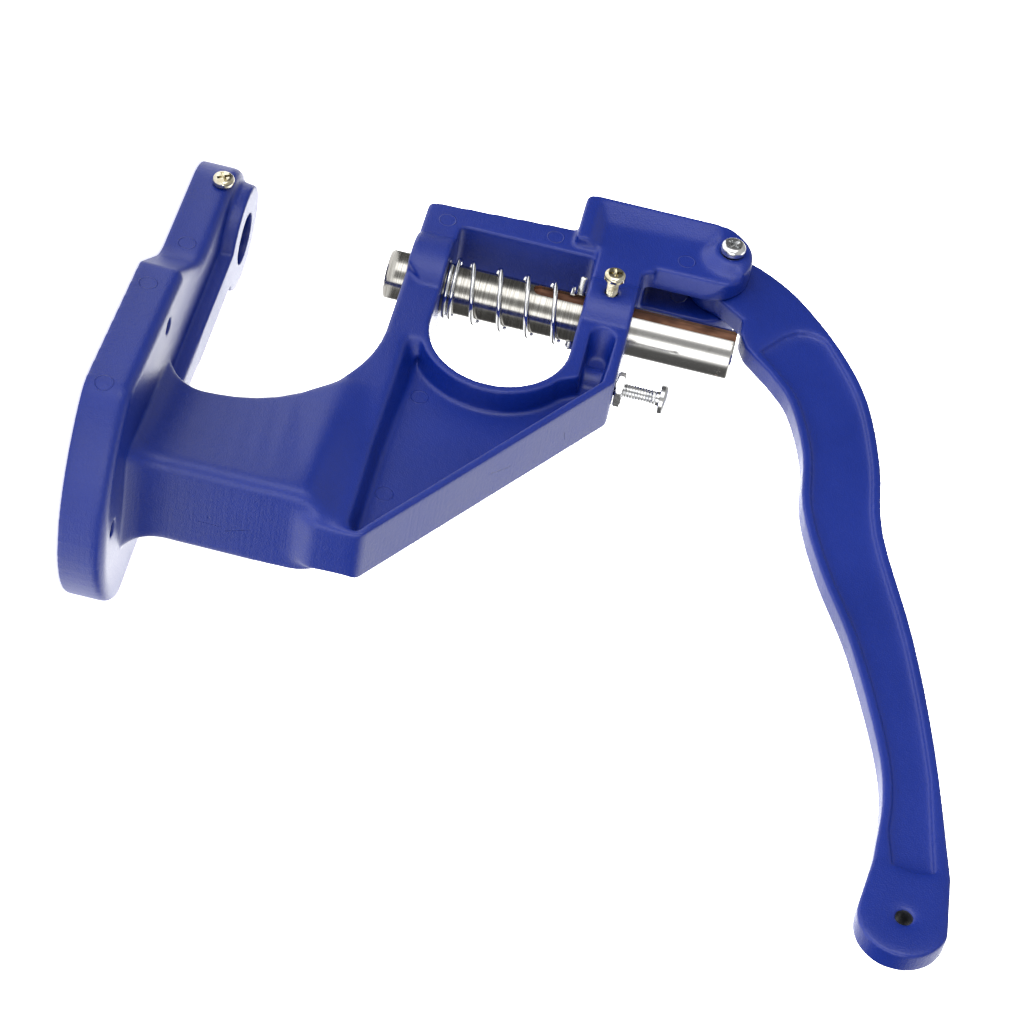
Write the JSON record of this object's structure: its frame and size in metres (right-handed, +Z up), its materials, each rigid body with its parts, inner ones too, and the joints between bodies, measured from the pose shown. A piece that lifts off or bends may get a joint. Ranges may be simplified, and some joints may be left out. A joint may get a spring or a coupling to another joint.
{
  "type": "arbor press",
  "caption": "Small bench lever press: cast frame with a C throat, spring-returned steel ram, curved hand lever, stop screw and die seat.",
  "frame": {"origin": "the ram's axis at the base's underside", "axes": "+Z up along the ram; +Y towards the back and the handle's end; +X across, towards the die clamp screw's head"},
  "size_m": [0.0902, 0.2634, 0.2716],
  "materials": {
    "frame_paint": "satin royal blue powder coat on a casting",
    "lever_paint": "satin royal blue powder coat on a casting",
    "ground_steel": "ground bright steel",
    "spring_steel": "bright zinc-plated wire",
    "pin_steel": "bright pin",
    "yellow_zinc": "yellow zinc plate",
    "clamp_zinc": "yellow zinc plate",
    "white_zinc": "white zinc plate",
    "stop_zinc": "white zinc plate",
    "nut_zinc": "white zinc plate"
  },
  "bodies": {
    "frame": {"frame_casting": "frame_paint", "return_spring": "spring_steel", "pivot_bolt": "white_zinc", "pivot_nut": "nut_zinc", "stop_lock_nut": "nut_zinc"},
    "lever": {"lever": "lever_paint"},
    "ram": {"ram": "ground_steel", "spring_cross_pin": "pin_steel"},
    "stop_screw": {"stop_screw": "stop_zinc"},
    "guide_screw": {"guide_screw": "yellow_zinc"},
    "die_clamp_screw": {"die_clamp_screw": "clamp_zinc"}
  },
  "joints": [
    {"name": "lever_pivot", "type": "hinge", "parent": "frame", "child": "lever", "pos_m": [0, -0.0323, 0.1718], "axis": [-1, 0, 0], "range_deg": [0, 36], "stiffness_Nm_per_rad": 1.2, "springref_deg": -34.38},
    {"name": "ram_slide", "type": "slide", "parent": "frame", "child": "ram", "axis": [0, 0, -1], "range_m": [0, 0.0175], "deforming": ["return_spring"]},
    {"name": "stop_adjust", "type": "slide", "parent": "frame", "child": "stop_screw", "axis": [0, 0, -1], "range_m": [0, 0.007]},
    {"name": "guide_screw_out", "type": "slide", "parent": "frame", "child": "guide_screw", "axis": [1, 0, 0], "range_m": [0, 0.004]},
    {"name": "die_clamp_out", "type": "slide", "parent": "frame", "child": "die_clamp_screw", "axis": [1, 0, 0], "range_m": [0, 0.004]}
  ],
  "couplings": [
    {"joint": "ram_slide", "follows": "lever_pivot", "m_per_rad": 0.0272}
  ]
}
